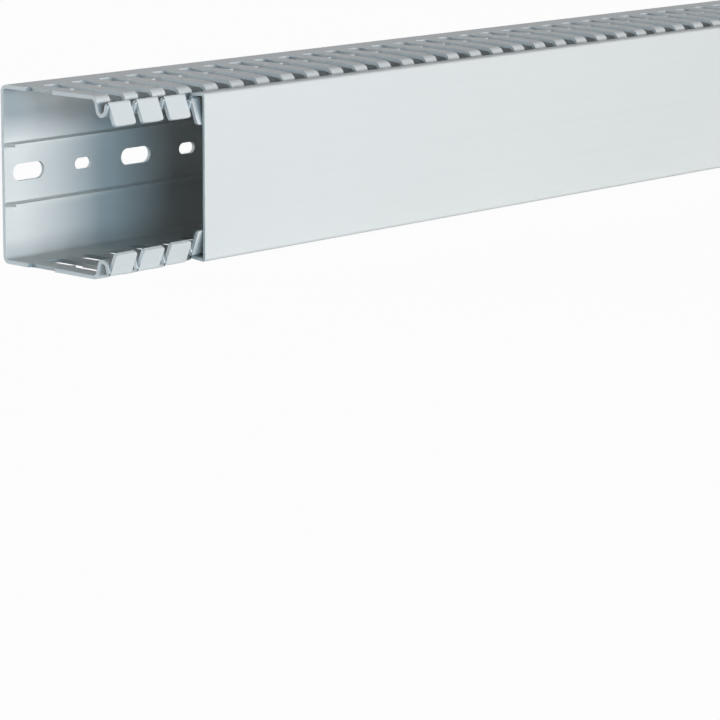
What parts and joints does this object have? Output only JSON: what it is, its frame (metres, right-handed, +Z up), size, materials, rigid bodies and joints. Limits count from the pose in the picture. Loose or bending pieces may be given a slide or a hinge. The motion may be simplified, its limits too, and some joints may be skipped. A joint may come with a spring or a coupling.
{
  "type": "slotted wire duct",
  "caption": "Slotted wiring duct with its cover: an open plastic channel whose finger walls let wires out along its length, closed by a push-on cover that slides along it.",
  "frame": {"origin": "centre of the lower side wall's footprint, duct and cover together, on the floor it lies on", "axes": "+X along the duct, the way the cover is pushed; +Y out of the base's back, the mounting face; -Y out of the cover; +Z up"},
  "size_m": [0.539, 0.055, 0.06],
  "materials": {
    "duct_pvc": "satin light grey extruded rigid PVC",
    "cover_pvc": "satin light grey extruded rigid PVC, smoother than the duct"
  },
  "bodies": {
    "duct": {"duct": "duct_pvc"},
    "cover": {"cover": "cover_pvc"}
  },
  "joints": [
    {"name": "cover_slide", "type": "slide", "parent": "duct", "child": "cover", "axis": [1, 0, 0], "range_m": [-0.039, 0.47]}
  ]
}
